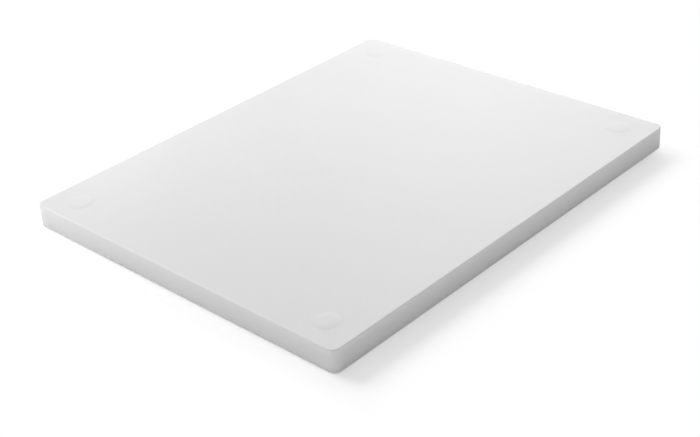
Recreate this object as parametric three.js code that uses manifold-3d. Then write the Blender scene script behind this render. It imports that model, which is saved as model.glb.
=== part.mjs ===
// Reversible kitchen cutting board with a half-size gastronorm footprint.
// A thick polyethylene slab with round corners and eased edges carries four push-in elastomer stops.
// Each stop passes right through the slab and stands a little proud of both faces,
// so that the board grips the worktop whichever way up it lies.
// Units are millimetres and +Z is up. The origin is the centre of the footprint, on the worktop.

import * as THREE from "three";
import { mergeVertices } from "three/addons/utils/BufferGeometryUtils.js";
import Module from "manifold-3d";

// Slab: its length runs along X and its width along Y
const SLAB_LENGTH = 325;
const SLAB_WIDTH = 265;
const SLAB_THICKNESS = 15.5;
const CORNER_RADIUS = 5;
const EDGE_RADIUS = 0.5;

// Stops: the axis of each stands in from the nearest short end and the nearest long side
const STOP_DIAMETER = 17;
const STOP_FROM_END = 19;
const STOP_FROM_SIDE = 23;
const STOP_PROUD = 0.3;
const CROWN_WIDTH = 5.5;

// Grip grooves turned into the shank of each stop
const GROOVE_COUNT = 3;
const GROOVE_PITCH = 3.6;
const GROOVE_WIDTH = 1.8;
const GROOVE_DEPTH = 0.6;

// Fit of a stop in its bore, on the radius
const BORE_CLEARANCE = 0.15;

// How far a cutter runs past the faces that it opens
const OVERCUT = 1;

// Facets of the round forms
const CORNER_DIVISIONS = 6;
const EDGE_SEGMENTS = 4;
const ROUND_SEGMENTS = 40;
const CROWN_DIVISIONS = 2;

// The four corners, named as seen by someone who stands at the long side in front
const CORNERS = [
  { name: "front_left", along: -1, across: -1 },
  { name: "front_right", along: 1, across: -1 },
  { name: "rear_right", along: 1, across: 1 },
  { name: "rear_left", along: -1, across: 1 },
];

const wasm = await Module();
wasm.setup();

// Turns a closed three.js geometry into a solid that can be cut
function toSolid(geometry) {
  const bare = geometry.clone();
  bare.deleteAttribute("normal");
  bare.deleteAttribute("uv");
  const merged = mergeVertices(bare, 1e-4);
  return new wasm.Manifold(new wasm.Mesh({
    numProp: 3,
    vertProperties: Float32Array.from(merged.attributes.position.array),
    triVerts: Uint32Array.from(merged.index.array),
  }));
}

// Turns a cut solid back into a three.js geometry
function toGeometry(solid) {
  const mesh = solid.getMesh();
  const geometry = new THREE.BufferGeometry();
  geometry.setAttribute("position", new THREE.BufferAttribute(mesh.vertProperties, 3));
  geometry.setIndex(new THREE.BufferAttribute(mesh.triVerts, 1));
  geometry.computeVertexNormals();
  return geometry;
}

// Place of a stop's axis on the slab
function stopAxis(corner) {
  const x = corner.along * (SLAB_LENGTH / 2 - STOP_FROM_END);
  const y = corner.across * (SLAB_WIDTH / 2 - STOP_FROM_SIDE);
  return new THREE.Vector2(x, y);
}

// Plan of the slab: a rectangle with round corners
function slabOutline() {
  const x = SLAB_LENGTH / 2 - CORNER_RADIUS;
  const y = SLAB_WIDTH / 2 - CORNER_RADIUS;
  const quarter = Math.PI / 2;
  const outline = new THREE.Shape();
  outline.absarc(x, y, CORNER_RADIUS, 0, quarter);
  outline.absarc(-x, y, CORNER_RADIUS, quarter, 2 * quarter);
  outline.absarc(-x, -y, CORNER_RADIUS, 2 * quarter, 3 * quarter);
  outline.absarc(x, -y, CORNER_RADIUS, 3 * quarter, 4 * quarter);
  return outline;
}

// The slab: the plan extruded with its edges eased all round, then bored for the stops
function slabGeometry() {
  const blank = new THREE.ExtrudeGeometry(slabOutline(), {
    depth: SLAB_THICKNESS - 2 * EDGE_RADIUS,
    curveSegments: CORNER_DIVISIONS,
    bevelThickness: EDGE_RADIUS,
    bevelSize: EDGE_RADIUS,
    bevelOffset: -EDGE_RADIUS,
    bevelSegments: EDGE_SEGMENTS,
  });
  blank.translate(0, 0, STOP_PROUD + EDGE_RADIUS);

  const boreRadius = STOP_DIAMETER / 2 + BORE_CLEARANCE;
  const boreLength = SLAB_THICKNESS + 2 * OVERCUT;
  let slab = toSolid(blank);
  for (const corner of CORNERS) {
    const axis = stopAxis(corner);
    const bore = new THREE.CylinderGeometry(boreRadius, boreRadius, boreLength, ROUND_SEGMENTS);
    bore.rotateX(Math.PI / 2);
    bore.translate(axis.x, axis.y, STOP_PROUD + SLAB_THICKNESS / 2);
    slab = slab.subtract(toSolid(bore));
  }
  return toGeometry(slab);
}

// Half section of a stop, from the middle of its lower end to the middle of its upper end.
// Each end is flat in the middle and falls away in a crown, to meet the slab's face at the rim.
function stopProfile() {
  const radius = STOP_DIAMETER / 2;
  const height = SLAB_THICKNESS + 2 * STOP_PROUD;
  const flat = radius - CROWN_WIDTH;
  const crown = (CROWN_WIDTH ** 2 + STOP_PROUD ** 2) / (2 * STOP_PROUD);
  const sweep = Math.asin(CROWN_WIDTH / crown);
  const down = -Math.PI / 2;
  const up = Math.PI / 2;

  const profile = new THREE.Path();
  profile.moveTo(0, 0);
  profile.lineTo(flat, 0);
  profile.absarc(flat, crown, crown, down, down + sweep);
  for (let index = 0; index < GROOVE_COUNT; index += 1) {
    const middle = height / 2 + (index - (GROOVE_COUNT - 1) / 2) * GROOVE_PITCH;
    profile.lineTo(radius, middle - GROOVE_WIDTH / 2);
    profile.lineTo(radius - GROOVE_DEPTH, middle - GROOVE_WIDTH / 2 + GROOVE_DEPTH);
    profile.lineTo(radius - GROOVE_DEPTH, middle + GROOVE_WIDTH / 2 - GROOVE_DEPTH);
    profile.lineTo(radius, middle + GROOVE_WIDTH / 2);
  }
  profile.absarc(flat, height - crown, crown, up - sweep, up);
  profile.lineTo(0, height);
  return profile.getPoints(CROWN_DIVISIONS);
}

// A stop: the half section turned about its axis, which stands upright
function stopGeometry() {
  const stop = new THREE.LatheGeometry(stopProfile(), ROUND_SEGMENTS);
  stop.rotateX(Math.PI / 2);
  return stop;
}

const polyethylene = new THREE.MeshStandardMaterial({ color: 0xe8e8e6, roughness: 0.5, metalness: 0 });
const elastomer = new THREE.MeshStandardMaterial({ color: 0xe2e2e0, roughness: 0.65, metalness: 0 });

const cuttingBoard = new THREE.Group();

const slab = new THREE.Mesh(slabGeometry(), polyethylene);
slab.name = "board";
cuttingBoard.add(slab);

for (const corner of CORNERS) {
  const axis = stopAxis(corner);
  const stop = new THREE.Mesh(stopGeometry(), elastomer);
  stop.name = `stop_${corner.name}`;
  stop.position.set(axis.x, axis.y, 0);
  cuttingBoard.add(stop);
}

export default cuttingBoard;
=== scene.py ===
"""Dresses a reversible polyethylene cutting board and its push-in stops, and sets the photograph's view."""

import logging
import math
from dataclasses import dataclass
from enum import Enum
from typing import Any, Sequence

import bmesh
import bpy
from mathutils import Matrix, Vector


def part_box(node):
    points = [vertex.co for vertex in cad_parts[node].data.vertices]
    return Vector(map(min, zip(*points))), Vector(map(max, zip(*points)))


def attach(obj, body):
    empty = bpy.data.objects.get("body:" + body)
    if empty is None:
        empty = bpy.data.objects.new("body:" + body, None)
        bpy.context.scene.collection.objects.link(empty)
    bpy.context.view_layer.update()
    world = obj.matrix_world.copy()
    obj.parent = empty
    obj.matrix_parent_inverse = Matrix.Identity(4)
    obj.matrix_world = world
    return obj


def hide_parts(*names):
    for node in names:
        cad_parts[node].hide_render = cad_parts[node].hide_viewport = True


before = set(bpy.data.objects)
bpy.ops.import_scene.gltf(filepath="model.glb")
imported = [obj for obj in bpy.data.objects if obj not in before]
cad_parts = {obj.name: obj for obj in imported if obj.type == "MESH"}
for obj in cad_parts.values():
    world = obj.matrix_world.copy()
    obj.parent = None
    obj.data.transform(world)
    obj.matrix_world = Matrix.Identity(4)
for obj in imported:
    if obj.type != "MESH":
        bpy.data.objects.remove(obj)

log = logging.getLogger("cutting_board")

Colour = tuple[float, float, float]
Socket = bpy.types.NodeSocket

MM = 0.001
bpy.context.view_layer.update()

IMAGE_WIDTH = 700
BOARD = "board"
WELD_DISTANCE = 0.001 * MM
WHITE = (1.0, 1.0, 1.0, 1.0)

# Names of the nodes that a new material or world comes with
SHADER = "Principled BSDF"
SURFACE = "Material Output"
BACKDROP = "Background"

# Distance between the bands of a wave texture whose scale is 1
WAVE_PITCH = math.pi / 10.0


class Corner(Enum):
    """Corners of the board, as seen by someone who stands at the long side in front."""

    FRONT_LEFT = "front_left"
    FRONT_RIGHT = "front_right"
    REAR_RIGHT = "rear_right"
    REAR_LEFT = "rear_left"

    @property
    def stop(self) -> str:
        """Name of the stop in this corner: its CAD node and its body."""
        return f"stop_{self.value}"


class Slot(Enum):
    """Material slots of the record."""

    POLYETHYLENE = "white_polyethylene"
    ELASTOMER = "white_elastomer"


class Graph:
    """Adds and links the nodes of one node tree.

    Args:
        tree: the shader or geometry tree to fill.
    """

    def __init__(self, tree: bpy.types.NodeTree) -> None:
        self.tree = tree

    def fill(self, node: bpy.types.Node, inputs: dict[str | int, Any]) -> None:
        """Sets or links a node's inputs.

        Args:
            node: the node.
            inputs: socket names or numbers, each with a value, an output socket or a list of these.
        """
        for key, value in inputs.items():
            for source in value if isinstance(value, list) else [value]:
                if isinstance(source, Socket):
                    self.tree.links.new(source, node.inputs[key])
                else:
                    node.inputs[key].default_value = source

    def add(self, kind: str, inputs: dict[str | int, Any] | None = None, **settings: Any) -> bpy.types.Node:
        """Adds a node.

        Args:
            kind: Blender's type name of the node.
            inputs: what goes into its sockets, as in fill.
            settings: the node's own properties.

        Returns:
            The new node.
        """
        node = self.tree.nodes.new(kind)
        for name, value in settings.items():
            setattr(node, name, value)
        self.fill(node, inputs or {})
        return node

    def math(self, operation: str, first: Any, second: Any = 0.0) -> Socket:
        """Adds a Math node.

        Args:
            operation: Blender's name of the sum.
            first: a value or socket.
            second: a value or socket.

        Returns:
            The node's output.
        """
        return self.add("ShaderNodeMath", {0: first, 1: second}, operation=operation).outputs[0]

    def point(self, x: Any = 0.0, y: Any = 0.0, z: Any = 0.0) -> Socket:
        """Adds a Combine XYZ node.

        Args:
            x: a value or socket.
            y: a value or socket.
            z: a value or socket.

        Returns:
            The vector output.
        """
        return self.add("ShaderNodeCombineXYZ", {"X": x, "Y": y, "Z": z}).outputs[0]

    def ramp(
        self, value: Any, start: float, end: float, low: Any = 0.0, high: Any = 1.0, smooth: bool = False
    ) -> Socket:
        """Adds a Map Range node.

        Args:
            value: a value or socket.
            start: where the ramp begins.
            end: where the ramp ends.
            low: the result up to the start, as a value or socket.
            high: the result past the end, as a value or socket.
            smooth: whether the ramp eases in and out.

        Returns:
            The node's output.
        """
        return self.add("ShaderNodeMapRange", {
            "Value": value,
            "From Min": start,
            "From Max": end,
            "To Min": low,
            "To Max": high,
        }, interpolation_type="SMOOTHSTEP" if smooth else "LINEAR").outputs[0]

    def mix(self, factor: Socket, first: Any, second: Any) -> Socket:
        """Adds a Mix node for colours.

        Args:
            factor: 0 gives the first colour and 1 the second.
            first: a colour with its alpha, or a socket.
            second: a colour with its alpha, or a socket.

        Returns:
            The node's output.
        """
        node = self.add("ShaderNodeMix", {"Factor": factor, "A": first, "B": second}, data_type="RGBA")
        return node.outputs["Result"]


def start_material(name: str) -> tuple[bpy.types.Material, Graph]:
    """Starts a material made of nodes.

    Args:
        name: the material's name.

    Returns:
        The material, and the graph of its tree.
    """
    material = bpy.data.materials.new(name)
    material.use_nodes = True
    return material, Graph(material.node_tree)


def turn_faces_out(mesh: bpy.types.Mesh) -> None:
    """Makes every face of a closed mesh point outwards.

    Args:
        mesh: the mesh to mend.
    """
    work = bmesh.new()
    work.from_mesh(mesh)
    bmesh.ops.recalc_face_normals(work, faces=work.faces)
    work.to_mesh(mesh)
    work.free()


class MeshRecipe:
    """A Geometry Nodes tree with named inputs, run once and turned into a plain mesh.

    Args:
        name: the tree's name.
        sockets: input names, each with its socket type and value.
    """

    def __init__(self, name: str, sockets: dict[str, tuple[str, Any]]) -> None:
        self.tree = bpy.data.node_groups.new(name, "GeometryNodeTree")
        self.tree.interface.new_socket("Geometry", in_out="INPUT", socket_type="NodeSocketGeometry")
        self.tree.interface.new_socket("Geometry", in_out="OUTPUT", socket_type="NodeSocketGeometry")
        self.values: dict[str, Any] = {}
        for label, (kind, value) in sockets.items():
            socket = self.tree.interface.new_socket(label, in_out="INPUT", socket_type=kind)
            self.values[socket.identifier] = value
        self.graph = Graph(self.tree)
        self.inputs = self.graph.add("NodeGroupInput").outputs

    def finish(self, geometry: Socket) -> None:
        """Ends the tree: instances become real, faces get smooth shading and the material.

        Args:
            geometry: the finished shape.
        """
        real = self.graph.add("GeometryNodeRealizeInstances", {"Geometry": geometry}).outputs[0]
        smooth = self.graph.add("GeometryNodeSetShadeSmooth", {"Geometry": real}).outputs[0]
        dressed = self.graph.add(
            "GeometryNodeSetMaterial", {"Geometry": smooth, "Material": self.inputs["Material"]}
        )
        self.graph.add("NodeGroupOutput", {"Geometry": dressed.outputs[0]})

    def run(self, name: str, base: bpy.types.Mesh, crease: float) -> bpy.types.Object:
        """Runs the tree on a mesh and keeps the result as a plain mesh object.

        Args:
            name: the new object's name.
            base: the mesh that the tree starts from.
            crease: edges sharper than this angle, in radians, stay sharp in shading.

        Returns:
            The object, at the origin, with its place in its mesh.
        """
        maker = bpy.data.objects.new(f"{name}_maker", base)
        bpy.context.scene.collection.objects.link(maker)
        modifier = maker.modifiers.new("shape", "NODES")
        modifier.node_group = self.tree
        for identifier, value in self.values.items():
            modifier[identifier] = value
        evaluated = maker.evaluated_get(bpy.context.evaluated_depsgraph_get())
        mesh = bpy.data.meshes.new_from_object(evaluated)
        maker.modifiers.remove(modifier)
        bpy.data.objects.remove(maker)
        turn_faces_out(mesh)
        mesh.set_sharp_from_angle(angle=crease)
        mesh.name = name
        piece = bpy.data.objects.new(name, mesh)
        bpy.context.scene.collection.objects.link(piece)
        return piece


@dataclass(frozen=True)
class PolyethyleneFinish:
    """White polyethylene: satin, slightly see-through, with a fine pressed texture on both faces.

    Lengths are in metres. Between the two machined depths below a face the finish turns from pressed
    to machined. Between the two skin depths the spread of light turns from the face's to the edge's,
    and between the two edge depths from the edge's to the side's.
    """

    colour: Colour = (0.81, 0.81, 0.81)
    shade: Colour = (0.79, 0.79, 0.79)
    # Painted shade: the machined sides and eased edges take this slightly darker colour, which dims them;
    # their duller finish comes from machined_roughness.
    painted_side_shade: Colour = (0.785, 0.785, 0.785)
    cloud_scale: float = 14.0
    cloud_detail: float = 3.0
    roughness: float = 0.38
    machined_roughness: float = 0.75
    machined_from: float = 0.1 * MM
    machined_to: float = 0.3 * MM
    texture_pitch: float = 1.7 * MM
    texture_depth: float = 0.05 * MM
    texture_turn: float = math.radians(45)
    scatter_weight: float = 1.0
    scatter_balance: Colour = (1.0, 1.0, 1.0)
    face_scatter: float = 2.0 * MM
    edge_scatter: float = 0.4 * MM
    side_scatter: float = 8.0 * MM
    bore_scatter: float = 0.3 * MM
    skin_from: float = 0.01 * MM
    skin_to: float = 0.05 * MM
    edge_from: float = 0.6 * MM
    edge_to: float = 0.9 * MM
    bore_reach: float = 12.0 * MM

    def material(
        self, middle: float, half_thickness: float, axis: Vector, bore: float
    ) -> bpy.types.Material:
        """Makes the slab's material.

        Args:
            middle: height of the slab's middle plane.
            half_thickness: distance from there to either face.
            axis: a point on the axis of the bore in the corner of positive X and Y.
            bore: the bores' radius.

        Returns:
            The material.
        """
        material, graph = start_material("pressed_polyethylene")
        place = graph.add("ShaderNodeTexCoord").outputs["Object"]
        height = graph.add("ShaderNodeSeparateXYZ", {"Vector": place}).outputs["Z"]
        off_middle = graph.math("ABSOLUTE", graph.math("SUBTRACT", height, middle))
        below_face = graph.math("SUBTRACT", half_thickness, off_middle)
        on_face = graph.ramp(below_face, self.machined_from, self.machined_to, low=1.0, high=0.0)
        graph.fill(graph.tree.nodes[SHADER], {
            "Base Color": self.tint(graph, place, on_face),
            "Roughness": graph.ramp(on_face, 0.0, 1.0, self.machined_roughness, self.roughness),
            "Normal": self.pressed_texture(graph, place, on_face),
            "Subsurface Weight": self.scatter_weight,
            "Subsurface Radius": self.scatter_balance,
            "Subsurface Scale": self.scatter_depth(graph, place, below_face, axis, bore),
        })
        return material

    def tint(self, graph: Graph, place: Socket, on_face: Socket) -> Socket:
        """Adds the colour: slow clouding of the resin on the faces, and painted shade on the machined sides
        and edges.

        Args:
            graph: the material's graph.
            place: the point on the slab.
            on_face: 1 on a pressed face and 0 on a machined edge or side.

        Returns:
            The colour.
        """
        cloud = graph.add("ShaderNodeTexNoise", {
            "Vector": place,
            "Scale": self.cloud_scale,
            "Detail": self.cloud_detail,
        })
        pressed = graph.mix(cloud.outputs[0], (*self.shade, 1.0), (*self.colour, 1.0))
        # Painted shade: where on_face is 0, on the sides and eased edges, the darker colour replaces the
        # faces' colour.
        return graph.mix(on_face, (*self.painted_side_shade, 1.0), pressed)

    def pressed_texture(self, graph: Graph, place: Socket, on_face: Socket) -> Socket:
        """Adds the diamonds that are pressed into both faces, on the diagonals of the board.

        Args:
            graph: the material's graph.
            place: the point on the slab.
            on_face: 1 on a pressed face and 0 on a machined edge or side.

        Returns:
            The bumped normal.
        """
        turned = graph.add("ShaderNodeMapping", {
            "Vector": place,
            "Rotation": (0.0, 0.0, self.texture_turn),
        })
        waves = [
            graph.add(
                "ShaderNodeTexWave",
                {"Vector": turned.outputs[0], "Scale": WAVE_PITCH / self.texture_pitch},
                bands_direction=direction,
            ).outputs["Fac"]
            for direction in ("X", "Y")
        ]
        diamonds = graph.math("MULTIPLY", *waves)
        pressed = graph.math("MULTIPLY", diamonds, on_face)
        return graph.add("ShaderNodeBump", {
            "Height": pressed,
            "Distance": self.texture_depth,
            "Strength": 1.0,
        }).outputs[0]

    def scatter_depth(
        self, graph: Graph, place: Socket, below_face: Socket, axis: Vector, bore: float
    ) -> Socket:
        """Adds how far light spreads inside the plastic.

        It spreads far in from the sides, less under the dense skin of the faces, little under the
        scraped edges, and hardly at all beside a bore, because the stop fills it.

        Args:
            graph: the material's graph.
            place: the point on the slab.
            below_face: how far the point lies below the nearer face.
            axis: a point on the axis of the bore in the corner of positive X and Y.
            bore: the bores' radius.

        Returns:
            The depth.
        """
        off_face = graph.ramp(
            below_face, self.edge_from, self.edge_to, self.edge_scatter, self.side_scatter
        )
        away_from_bores = graph.ramp(
            below_face, self.skin_from, self.skin_to, self.face_scatter, off_face
        )
        quadrant = graph.add("ShaderNodeVectorMath", {0: place}, operation="ABSOLUTE")
        in_plan = graph.add(
            "ShaderNodeVectorMath", {0: quadrant.outputs[0], 1: (1.0, 1.0, 0.0)}, operation="MULTIPLY"
        )
        from_axis = graph.add(
            "ShaderNodeVectorMath", {0: in_plan.outputs[0], 1: (axis.x, axis.y, 0.0)}, operation="DISTANCE"
        )
        return graph.ramp(
            from_axis.outputs["Value"],
            bore,
            bore + self.bore_reach,
            self.bore_scatter,
            away_from_bores,
            smooth=True,
        )


@dataclass(frozen=True)
class ElastomerFinish:
    """Soft white elastomer with a dull moulded skin. Lengths are in metres."""

    colour: Colour = (0.81, 0.81, 0.81)
    shade: Colour = (0.78, 0.78, 0.78)
    roughness: float = 0.4
    grain_size: float = 0.5 * MM
    grain_depth: float = 0.01 * MM
    grain_detail: float = 2.0

    def material(self) -> bpy.types.Material:
        """Makes the stops' material.

        Returns:
            The material.
        """
        material, graph = start_material("soft_elastomer")
        place = graph.add("ShaderNodeTexCoord").outputs["Object"]
        grain = graph.add("ShaderNodeTexNoise", {
            "Vector": place,
            "Scale": 1.0 / self.grain_size,
            "Detail": self.grain_detail,
        }).outputs[0]
        bump = graph.add("ShaderNodeBump", {"Height": grain, "Distance": self.grain_depth})
        graph.fill(graph.tree.nodes[SHADER], {
            "Base Color": graph.mix(grain, (*self.shade, 1.0), (*self.colour, 1.0)),
            "Roughness": self.roughness,
            "Normal": bump.outputs[0],
        })
        return material


@dataclass
class Slab:
    """The board itself: a slab with round corners, eased edges and a bore for each stop.

    Lengths are in metres and angles in radians. The slab's box and the stops' axes come from the frame.
    """

    corner_radius: float = 5.0 * MM
    corner_steps: int = 24
    edge_radius: float = 0.5 * MM
    edge_steps: int = 14
    land: float = 0.6 * MM
    outline_step: float = 1.0 * MM
    seam: float = 0.02 * MM
    bore_steps: int = 96
    scrape: float = 0.05 * MM
    scrape_scale: float = 90.0
    scrape_detail: float = 2.0
    scrape_seed: float = 3.0
    flush: float = 0.01 * MM
    crease: float = math.radians(40)
    finish: PolyethyleneFinish = PolyethyleneFinish()

    def build(self) -> bpy.types.Object:
        """Builds and dresses the slab.

        Returns:
            The slab's object, which rides on the board's body.
        """
        low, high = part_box(BOARD)
        stop_low, stop_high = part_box(Corner.REAR_RIGHT.stop)
        axis = (stop_low + stop_high) / 2
        size = high - low
        middle = (low.z + high.z) / 2
        bore = (stop_high.x - stop_low.x) / 2 + self.seam
        recipe = MeshRecipe("slab_with_eased_edges", {
            "Length": ("NodeSocketFloat", size.x),
            "Width": ("NodeSocketFloat", size.y),
            "Thickness": ("NodeSocketFloat", size.z),
            "Corner Radius": ("NodeSocketFloat", self.corner_radius),
            "Edge Radius": ("NodeSocketFloat", self.edge_radius),
            "Land": ("NodeSocketFloat", self.land),
            "Outline Step": ("NodeSocketFloat", self.outline_step),
            "Bore Radius": ("NodeSocketFloat", bore),
            "Bore Spacing X": ("NodeSocketFloat", 2 * axis.x),
            "Bore Spacing Y": ("NodeSocketFloat", 2 * axis.y),
            "Middle Height": ("NodeSocketFloat", middle),
            "Scrape": ("NodeSocketFloat", self.scrape),
            "Seed": ("NodeSocketFloat", self.scrape_seed),
            "Material": ("NodeSocketMaterial", self.finish.material(middle, size.z / 2, axis, bore)),
        })
        self.draw(recipe)
        piece = recipe.run("board_slab", bpy.data.meshes.new("board_start"), self.crease)
        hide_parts(BOARD)
        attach(piece, BOARD)
        return piece

    def draw(self, recipe: MeshRecipe) -> None:
        """Fills the tree: the upper half is drawn once and mirrored about the middle plane.

        Args:
            recipe: the tree with its inputs.
        """
        graph = recipe.graph
        sizes = recipe.inputs
        half = graph.math("MULTIPLY", sizes["Thickness"], 0.5)
        shoulder = graph.math("SUBTRACT", half, sizes["Edge Radius"])
        inset = graph.math("ADD", sizes["Edge Radius"], sizes["Land"])
        path = self.land_path(recipe, inset)
        section = self.edge_section(recipe, half, shoulder, inset)
        band = graph.add("GeometryNodeCurveToMesh", {"Curve": path, "Profile Curve": section}).outputs[0]
        walls, face = self.bored_face(recipe, path, half)

        # Both halves, welded
        upper = graph.add("GeometryNodeJoinGeometry", {"Geometry": [band, walls, face]}).outputs[0]
        lower = graph.add("GeometryNodeTransform", {"Geometry": upper, "Scale": (1.0, 1.0, -1.0)})
        lower = graph.add("GeometryNodeFlipFaces", {"Mesh": lower.outputs[0]})
        whole = graph.add("GeometryNodeJoinGeometry", {"Geometry": [upper, lower.outputs[0]]})
        whole = graph.add("GeometryNodeMergeByDistance", {
            "Geometry": whole.outputs[0],
            "Distance": WELD_DISTANCE,
        })
        scraped = self.scraped_edge(recipe, whole.outputs[0], half, shoulder)
        placed = graph.add("GeometryNodeTransform", {
            "Geometry": scraped,
            "Translation": graph.point(z=sizes["Middle Height"]),
        })
        recipe.finish(placed.outputs[0])

    def land_path(self, recipe: MeshRecipe, inset: Socket) -> Socket:
        """Draws the inner line of the land, which the eased edge is swept along.

        Args:
            recipe: the tree with its inputs.
            inset: how far the line lies inside the slab's outline.

        Returns:
            The closed curve.
        """
        graph = recipe.graph
        sizes = recipe.inputs
        twice_inset = graph.math("MULTIPLY", inset, 2.0)
        corners = graph.add("GeometryNodeCurvePrimitiveQuadrilateral", {
            "Width": graph.math("SUBTRACT", sizes["Length"], twice_inset),
            "Height": graph.math("SUBTRACT", sizes["Width"], twice_inset),
        })
        rounded = graph.add("GeometryNodeFilletCurve", {
            "Curve": corners.outputs[0],
            "Count": self.corner_steps,
            "Radius": graph.math("SUBTRACT", sizes["Corner Radius"], inset),
        }, mode="POLY")
        return graph.add("GeometryNodeResampleCurve", {
            "Curve": rounded.outputs[0],
            "Length": sizes["Outline Step"],
        }, mode="LENGTH").outputs[0]

    def edge_section(self, recipe: MeshRecipe, half: Socket, shoulder: Socket, inset: Socket) -> Socket:
        """Draws the section of the upper half: across the land, round the edge and down the side.

        Args:
            recipe: the tree with its inputs.
            half: half of the thickness.
            shoulder: height above the middle plane at which the edge begins to turn.
            inset: distance from the land's inner line to the side.

        Returns:
            The curves of the section, with heights drawn downwards, because the sweep turns them over.
        """
        graph = recipe.graph
        sizes = recipe.inputs
        down = graph.math("MULTIPLY", half, -1.0)
        shoulder_down = graph.math("MULTIPLY", shoulder, -1.0)
        land = graph.add("GeometryNodeCurvePrimitiveLine", {
            "Start": graph.point(y=down),
            "End": graph.point(x=sizes["Land"], y=down),
        })
        turn = graph.add("GeometryNodeCurveArc", {
            "Resolution": self.edge_steps,
            "Radius": sizes["Edge Radius"],
            "Start Angle": -math.pi / 2,
            "Sweep Angle": math.pi / 2,
        }, mode="RADIUS")
        turn = graph.add("GeometryNodeTransform", {
            "Geometry": turn.outputs[0],
            "Translation": graph.point(x=sizes["Land"], y=shoulder_down),
        })
        side = graph.add("GeometryNodeCurvePrimitiveLine", {
            "Start": graph.point(x=inset, y=shoulder_down),
            "End": graph.point(x=inset),
        })
        return graph.add("GeometryNodeJoinGeometry", {
            "Geometry": [land.outputs[0], turn.outputs[0], side.outputs[0]],
        }).outputs[0]

    def bored_face(self, recipe: MeshRecipe, path: Socket, half: Socket) -> tuple[Socket, Socket]:
        """Draws the upper half of the bores' walls and the flat face around them.

        Args:
            recipe: the tree with its inputs.
            path: the land's inner line, which bounds the face.
            half: half of the thickness.

        Returns:
            The walls and the face.
        """
        graph = recipe.graph
        sizes = recipe.inputs
        axes = graph.add("GeometryNodeCurvePrimitiveQuadrilateral", {
            "Width": sizes["Bore Spacing X"],
            "Height": sizes["Bore Spacing Y"],
        })
        circle = graph.add("GeometryNodeCurvePrimitiveCircle", {
            "Resolution": self.bore_steps,
            "Radius": sizes["Bore Radius"],
        })
        rims = graph.add("GeometryNodeInstanceOnPoints", {
            "Points": axes.outputs[0],
            "Instance": circle.outputs[0],
        })
        rims = graph.add("GeometryNodeRealizeInstances", {"Geometry": rims.outputs[0]}).outputs[0]
        drop = graph.add("GeometryNodeCurvePrimitiveLine", {
            "Start": graph.point(y=graph.math("MULTIPLY", half, -1.0)),
            "End": graph.point(),
        })
        walls = graph.add("GeometryNodeCurveToMesh", {"Curve": rims, "Profile Curve": drop.outputs[0]})
        borders = graph.add("GeometryNodeJoinGeometry", {"Geometry": [path, rims]})
        face = graph.add("GeometryNodeFillCurve", {"Curve": borders.outputs[0]}, mode="TRIANGLES")
        face = graph.add("GeometryNodeTransform", {
            "Geometry": face.outputs[0],
            "Translation": graph.point(z=half),
        })
        return walls.outputs[0], face.outputs[0]

    def scraped_edge(self, recipe: MeshRecipe, whole: Socket, half: Socket, shoulder: Socket) -> Socket:
        """Makes the slab a little uneven where its edges turn, cut inwards only.

        Args:
            recipe: the tree with its inputs.
            whole: the slab about its middle plane.
            half: half of the thickness.
            shoulder: height above the middle plane at which the edge begins to turn.

        Returns:
            The slab with its scraped edges.
        """
        graph = recipe.graph
        sizes = recipe.inputs
        where = graph.add("GeometryNodeInputPosition").outputs[0]
        height = graph.add("ShaderNodeSeparateXYZ", {"Vector": where}).outputs["Z"]
        off_middle = graph.math("ABSOLUTE", height)
        above_shoulder = graph.math("GREATER_THAN", off_middle, shoulder)
        below_face = graph.math("LESS_THAN", off_middle, graph.math("SUBTRACT", half, self.flush))
        uneven = graph.add("ShaderNodeTexNoise", {
            "Vector": where,
            "W": sizes["Seed"],
            "Scale": self.scrape_scale,
            "Detail": self.scrape_detail,
        }, noise_dimensions="4D").outputs[0]
        depth = graph.math("MULTIPLY", graph.math("MULTIPLY", uneven, sizes["Scrape"]), -1.0)
        offset = graph.add("ShaderNodeVectorMath", {
            "Vector": graph.add("GeometryNodeInputNormal").outputs[0],
            "Scale": depth,
        }, operation="SCALE")
        return graph.add("GeometryNodeSetPosition", {
            "Geometry": whole,
            "Selection": graph.math("MULTIPLY", above_shoulder, below_face),
            "Offset": offset.outputs[0],
        }).outputs[0]


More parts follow.
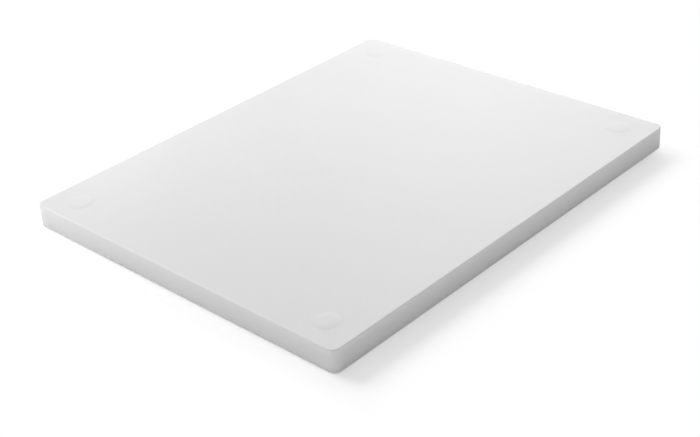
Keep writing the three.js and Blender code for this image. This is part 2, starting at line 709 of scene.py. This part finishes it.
@dataclass
class CornerStop:
    """A push-in stop: a turned plug with crowned ends and grip grooves, in one corner of the slab.

    Lengths are in metres and angles in radians. Its place, height and diameter come from the frame.
    """

    corner: Corner
    material: bpy.types.Material
    crown_width: float = 5.5 * MM
    groove_count: int = 3
    groove_pitch: float = 3.6 * MM
    groove_width: float = 1.8 * MM
    groove_depth: float = 0.6 * MM
    crown_steps: int = 10
    groove_steps: int = 10
    turn_steps: int = 96
    crease: float = math.radians(50)

    def half_section(self, radius: float, height: float, proud: float) -> list[tuple[float, float]]:
        """Draws the plug's half section from the middle of its lower end to the middle of its upper end.

        Args:
            radius: the shank's radius.
            height: the plug's whole height.
            proud: how far each end stands out of the slab.

        Returns:
            Distances from the axis with heights.
        """
        flat = radius - self.crown_width
        crown = (self.crown_width**2 + proud**2) / (2 * proud)
        sweep = math.asin(self.crown_width / crown)
        points = [(0.0, 0.0)]
        for step in range(self.crown_steps + 1):
            angle = sweep * step / self.crown_steps
            points.append((flat + crown * math.sin(angle), crown * (1 - math.cos(angle))))
        lower_end = list(points)
        for index in range(self.groove_count):
            middle = height / 2 + (index - (self.groove_count - 1) / 2) * self.groove_pitch
            for step in range(self.groove_steps + 1):
                along = step / self.groove_steps - 0.5
                hollow = self.groove_depth * math.cos(math.pi * along) ** 2
                points.append((radius - hollow, middle + along * self.groove_width))
        points += [(away, height - up) for away, up in reversed(lower_end)]
        return points

    def build(self) -> bpy.types.Object:
        """Builds and dresses the stop.

        Returns:
            The stop's object, which rides on its own body.
        """
        low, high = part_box(self.corner.stop)
        slab_low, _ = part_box(BOARD)
        radius = (high.x - low.x) / 2
        section = self.half_section(radius, high.z - low.z, slab_low.z - low.z)
        outline = bpy.data.meshes.new(f"{self.corner.stop}_section")
        outline.from_pydata(
            [(away - radius, low.z - up, 0.0) for away, up in section],
            [(index, index + 1) for index in range(len(section) - 1)],
            [],
        )
        centre = (low + high) / 2
        recipe = MeshRecipe("turned_stop", {
            "Radius": ("NodeSocketFloat", radius),
            "Turn Steps": ("NodeSocketInt", self.turn_steps),
            "Axis X": ("NodeSocketFloat", centre.x),
            "Axis Y": ("NodeSocketFloat", centre.y),
            "Material": ("NodeSocketMaterial", self.material),
        })
        self.draw(recipe)
        piece = recipe.run(f"{self.corner.stop}_plug", outline, self.crease)
        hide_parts(self.corner.stop)
        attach(piece, self.corner.stop)
        return piece

    def draw(self, recipe: MeshRecipe) -> None:
        """Fills the tree: the half section is swept once round the stop's axis and welded.

        Args:
            recipe: the tree with its inputs.
        """
        graph = recipe.graph
        sizes = recipe.inputs
        section = graph.add("GeometryNodeMeshToCurve", {"Mesh": sizes["Geometry"]})
        circle = graph.add("GeometryNodeCurvePrimitiveCircle", {
            "Resolution": sizes["Turn Steps"],
            "Radius": sizes["Radius"],
        })
        turned = graph.add("GeometryNodeCurveToMesh", {
            "Curve": circle.outputs[0],
            "Profile Curve": section.outputs[0],
        })
        welded = graph.add("GeometryNodeMergeByDistance", {
            "Geometry": turned.outputs[0],
            "Distance": WELD_DISTANCE,
        })
        placed = graph.add("GeometryNodeTransform", {
            "Geometry": welded.outputs[0],
            "Translation": graph.point(x=sizes["Axis X"], y=sizes["Axis Y"]),
        })
        recipe.finish(placed.outputs[0])


@dataclass(frozen=True)
class Lamp:
    """A soft oval lamp that faces the board. Angles are in degrees, lengths in metres, power in watts."""

    name: str
    azimuth: float
    elevation: float
    distance: float
    width: float
    height: float
    power: float

    def build(self) -> bpy.types.Object:
        """Hangs the lamp.

        Returns:
            The lamp's object.
        """
        light = bpy.data.lights.new(self.name, "AREA")
        light.shape = "ELLIPSE"
        light.size = self.width
        light.size_y = self.height
        light.energy = self.power
        lamp = bpy.data.objects.new(self.name, light)
        bpy.context.scene.collection.objects.link(lamp)
        turn = math.radians(self.azimuth)
        rise = math.radians(self.elevation)
        outward = Vector((math.cos(turn) * math.cos(rise), math.sin(turn) * math.cos(rise), math.sin(rise)))
        lamp.location = outward * self.distance
        lamp.rotation_euler = outward.to_track_quat("Z", "Y").to_euler()
        return lamp


@dataclass(frozen=True)
class PhotoCamera:
    """The photograph's camera, from the board's edges.

    Angles are in degrees, the eye is in metres, the focal length in pixels and the sensor in millimetres.
    """

    eye: tuple[float, float, float] = (-0.570102, -0.557036, 0.442132)
    azimuth: float = -45.185
    elevation: float = 30.408
    roll: float = -4.228
    focal_pixels: float = 1369.27
    sensor: float = 36.0

    def build(self) -> bpy.types.Object:
        """Sets the camera up as the scene's own.

        Returns:
            The camera's object.
        """
        data = bpy.data.cameras.new("photo_camera")
        data.sensor_width = self.sensor
        data.lens = self.sensor * self.focal_pixels / IMAGE_WIDTH
        camera = bpy.data.objects.new("photo_camera", data)
        bpy.context.scene.collection.objects.link(camera)
        turn = math.radians(self.azimuth)
        rise = math.radians(self.elevation)
        tilt = Matrix.Rotation(turn, 4, "Z") @ Matrix.Rotation(math.pi / 2 - rise, 4, "X")
        camera.matrix_world = (
            Matrix.Translation(self.eye) @ tilt @ Matrix.Rotation(math.radians(self.roll), 4, "Z")
        )
        bpy.context.scene.camera = camera
        return camera


def seen_directly(graph: Graph) -> Socket:
    """Tells what is looked at, straight on or through a reflection, from what only gives light.

    Args:
        graph: the graph that asks.

    Returns:
        1 for a camera, glossy or transmission ray and 0 for any other.
    """
    path = graph.add("ShaderNodeLightPath").outputs
    mirrored = graph.math("MAXIMUM", path["Is Glossy Ray"], path["Is Transmission Ray"])
    return graph.math("MAXIMUM", path["Is Camera Ray"], mirrored)


@dataclass(frozen=True)
class Fade:
    """Where the floor turns plain white on one side of the board.

    The side is a direction, and start and end are metres outwards from the slab's face on that side.
    """

    side: tuple[float, float, float]
    start: float
    end: float

    def whiteness(self, graph: Graph, place: Socket, half_size: Vector) -> Socket:
        """Adds the nodes that tell how white the floor is on this side.

        Args:
            graph: the floor's graph.
            place: the point on the floor, from the board's middle.
            half_size: half of the slab's length, width and thickness.

        Returns:
            0 before the start, 1 past the end and a smooth rise between them.
        """
        outwards = graph.add("ShaderNodeVectorMath", {0: place, 1: self.side}, operation="DOT_PRODUCT")
        slab_face = abs(half_size.dot(Vector(self.side)))
        return graph.ramp(
            outwards.outputs["Value"], slab_face + self.start, slab_face + self.end, smooth=True
        )


@dataclass
class Studio:
    """The pale floor, the soft light and the camera. Lengths are in metres."""

    floor_size: float = 12.0
    floor_colour: Colour = (0.93, 0.93, 0.93)
    floor_roughness: float = 0.9
    floor_gloss: float = 0.0
    shadow_lift: float = 0.27
    # Painted light: the fades paint the floor white over the board's shadow, sooner at the ends than beside
    # the long sides; beyond the +X end the white starts 20 mm inside the slab's end and paints out the
    # shadow's tail there.
    fades: Sequence[Fade] = (
        Fade(side=(1.0, 0.0, 0.0), start=-20.0 * MM, end=10.0 * MM),
        Fade(side=(-1.0, 0.0, 0.0), start=0.0, end=20.0 * MM),
        Fade(side=(0.0, 1.0, 0.0), start=15.0 * MM, end=45.0 * MM),
        Fade(side=(0.0, -1.0, 0.0), start=15.0 * MM, end=45.0 * MM),
    )
    sky: float = 0.476
    lamps: Sequence[Lamp] = (
        Lamp("key", azimuth=100.0, elevation=40.0, distance=1.8, width=0.9, height=0.9, power=12.6),
        Lamp(
            "left_strip", azimuth=148.0, elevation=5.0, distance=0.32, width=0.1, height=0.04, power=0.024
        ),
        Lamp(
            "rear_strip", azimuth=112.0, elevation=20.0, distance=0.215, width=0.2, height=0.04, power=0.011
        ),
        Lamp("back", azimuth=45.0, elevation=15.0, distance=1.2, width=1.0, height=1.0, power=2.1),
        Lamp("back_right", azimuth=20.0, elevation=30.0, distance=1.2, width=1.0, height=1.0, power=2.9),
        Lamp("low_left", azimuth=165.0, elevation=5.0, distance=1.2, width=0.6, height=0.18, power=0.98),
    )
    camera: PhotoCamera = PhotoCamera()

    def floor_material(self) -> bpy.types.Material:
        """Makes the floor's material: a light shadow shows beside the board, and plain white further off.

        Returns:
            The material.
        """
        low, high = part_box(BOARD)
        half_size = (high - low) / 2
        material, graph = start_material("pale_floor")
        shader = graph.tree.nodes[SHADER]
        graph.fill(shader, {
            "Base Color": (*self.floor_colour, 1.0),
            "Roughness": self.floor_roughness,
            "Specular IOR Level": self.floor_gloss,
        })
        place = graph.add("ShaderNodeTexCoord").outputs["Object"]
        far = 0.0
        for fade in self.fades:
            far = graph.math("MAXIMUM", far, fade.whiteness(graph, place, half_size))
        seen = seen_directly(graph)
        lift = graph.add("ShaderNodeEmission", {"Strength": graph.math("MULTIPLY", seen, self.shadow_lift)})
        near = graph.add("ShaderNodeAddShader", {0: shader.outputs[0], 1: lift.outputs[0]})
        white = graph.add("ShaderNodeEmission", {"Strength": 1.0})
        mixed = graph.add("ShaderNodeMixShader", {
            0: graph.math("MULTIPLY", far, seen),
            1: near.outputs[0],
            2: white.outputs[0],
        })
        graph.fill(graph.tree.nodes[SURFACE], {"Surface": mixed.outputs[0]})
        return material

    def lay_floor(self) -> None:
        """Lays the floor, which isn't part of the board."""
        reach = self.floor_size / 2
        mesh = bpy.data.meshes.new("floor")
        mesh.from_pydata(
            [(-reach, -reach, 0.0), (reach, -reach, 0.0), (reach, reach, 0.0), (-reach, reach, 0.0)],
            [],
            [(0, 1, 2, 3)],
        )
        mesh.materials.append(self.floor_material())
        floor = bpy.data.objects.new("floor", mesh)
        bpy.context.scene.collection.objects.link(floor)

    def light_room(self) -> None:
        """Makes the sky, which is white where it is seen and dimmer as a light, and hangs the lamps."""
        world = bpy.data.worlds.new("studio")
        world.use_nodes = True
        bpy.context.scene.world = world
        graph = Graph(world.node_tree)
        graph.fill(graph.tree.nodes[BACKDROP], {
            "Color": WHITE,
            "Strength": graph.ramp(seen_directly(graph), 0.0, 1.0, self.sky, 1.0),
        })
        for lamp in self.lamps:
            lamp.build()

    def build(self) -> None:
        """Lays the floor, lights the room and sets the camera."""
        self.lay_floor()
        self.light_room()
        self.camera.build()
        bpy.context.scene.view_settings.view_transform = "Standard"


def report(piece: bpy.types.Object) -> None:
    """Logs a finished piece with its count of faces."""
    log.info("%s: %d faces", piece.name, len(piece.data.polygons))


def main() -> None:
    """Builds the slab, the stops and the studio in order."""
    logging.basicConfig(level=logging.INFO, format="%(name)s %(message)s")
    report(Slab().build())
    elastomer = ElastomerFinish().material()
    for corner in Corner:
        report(CornerStop(corner, elastomer).build())
    Studio().build()


if __name__ == "__main__":
    main()
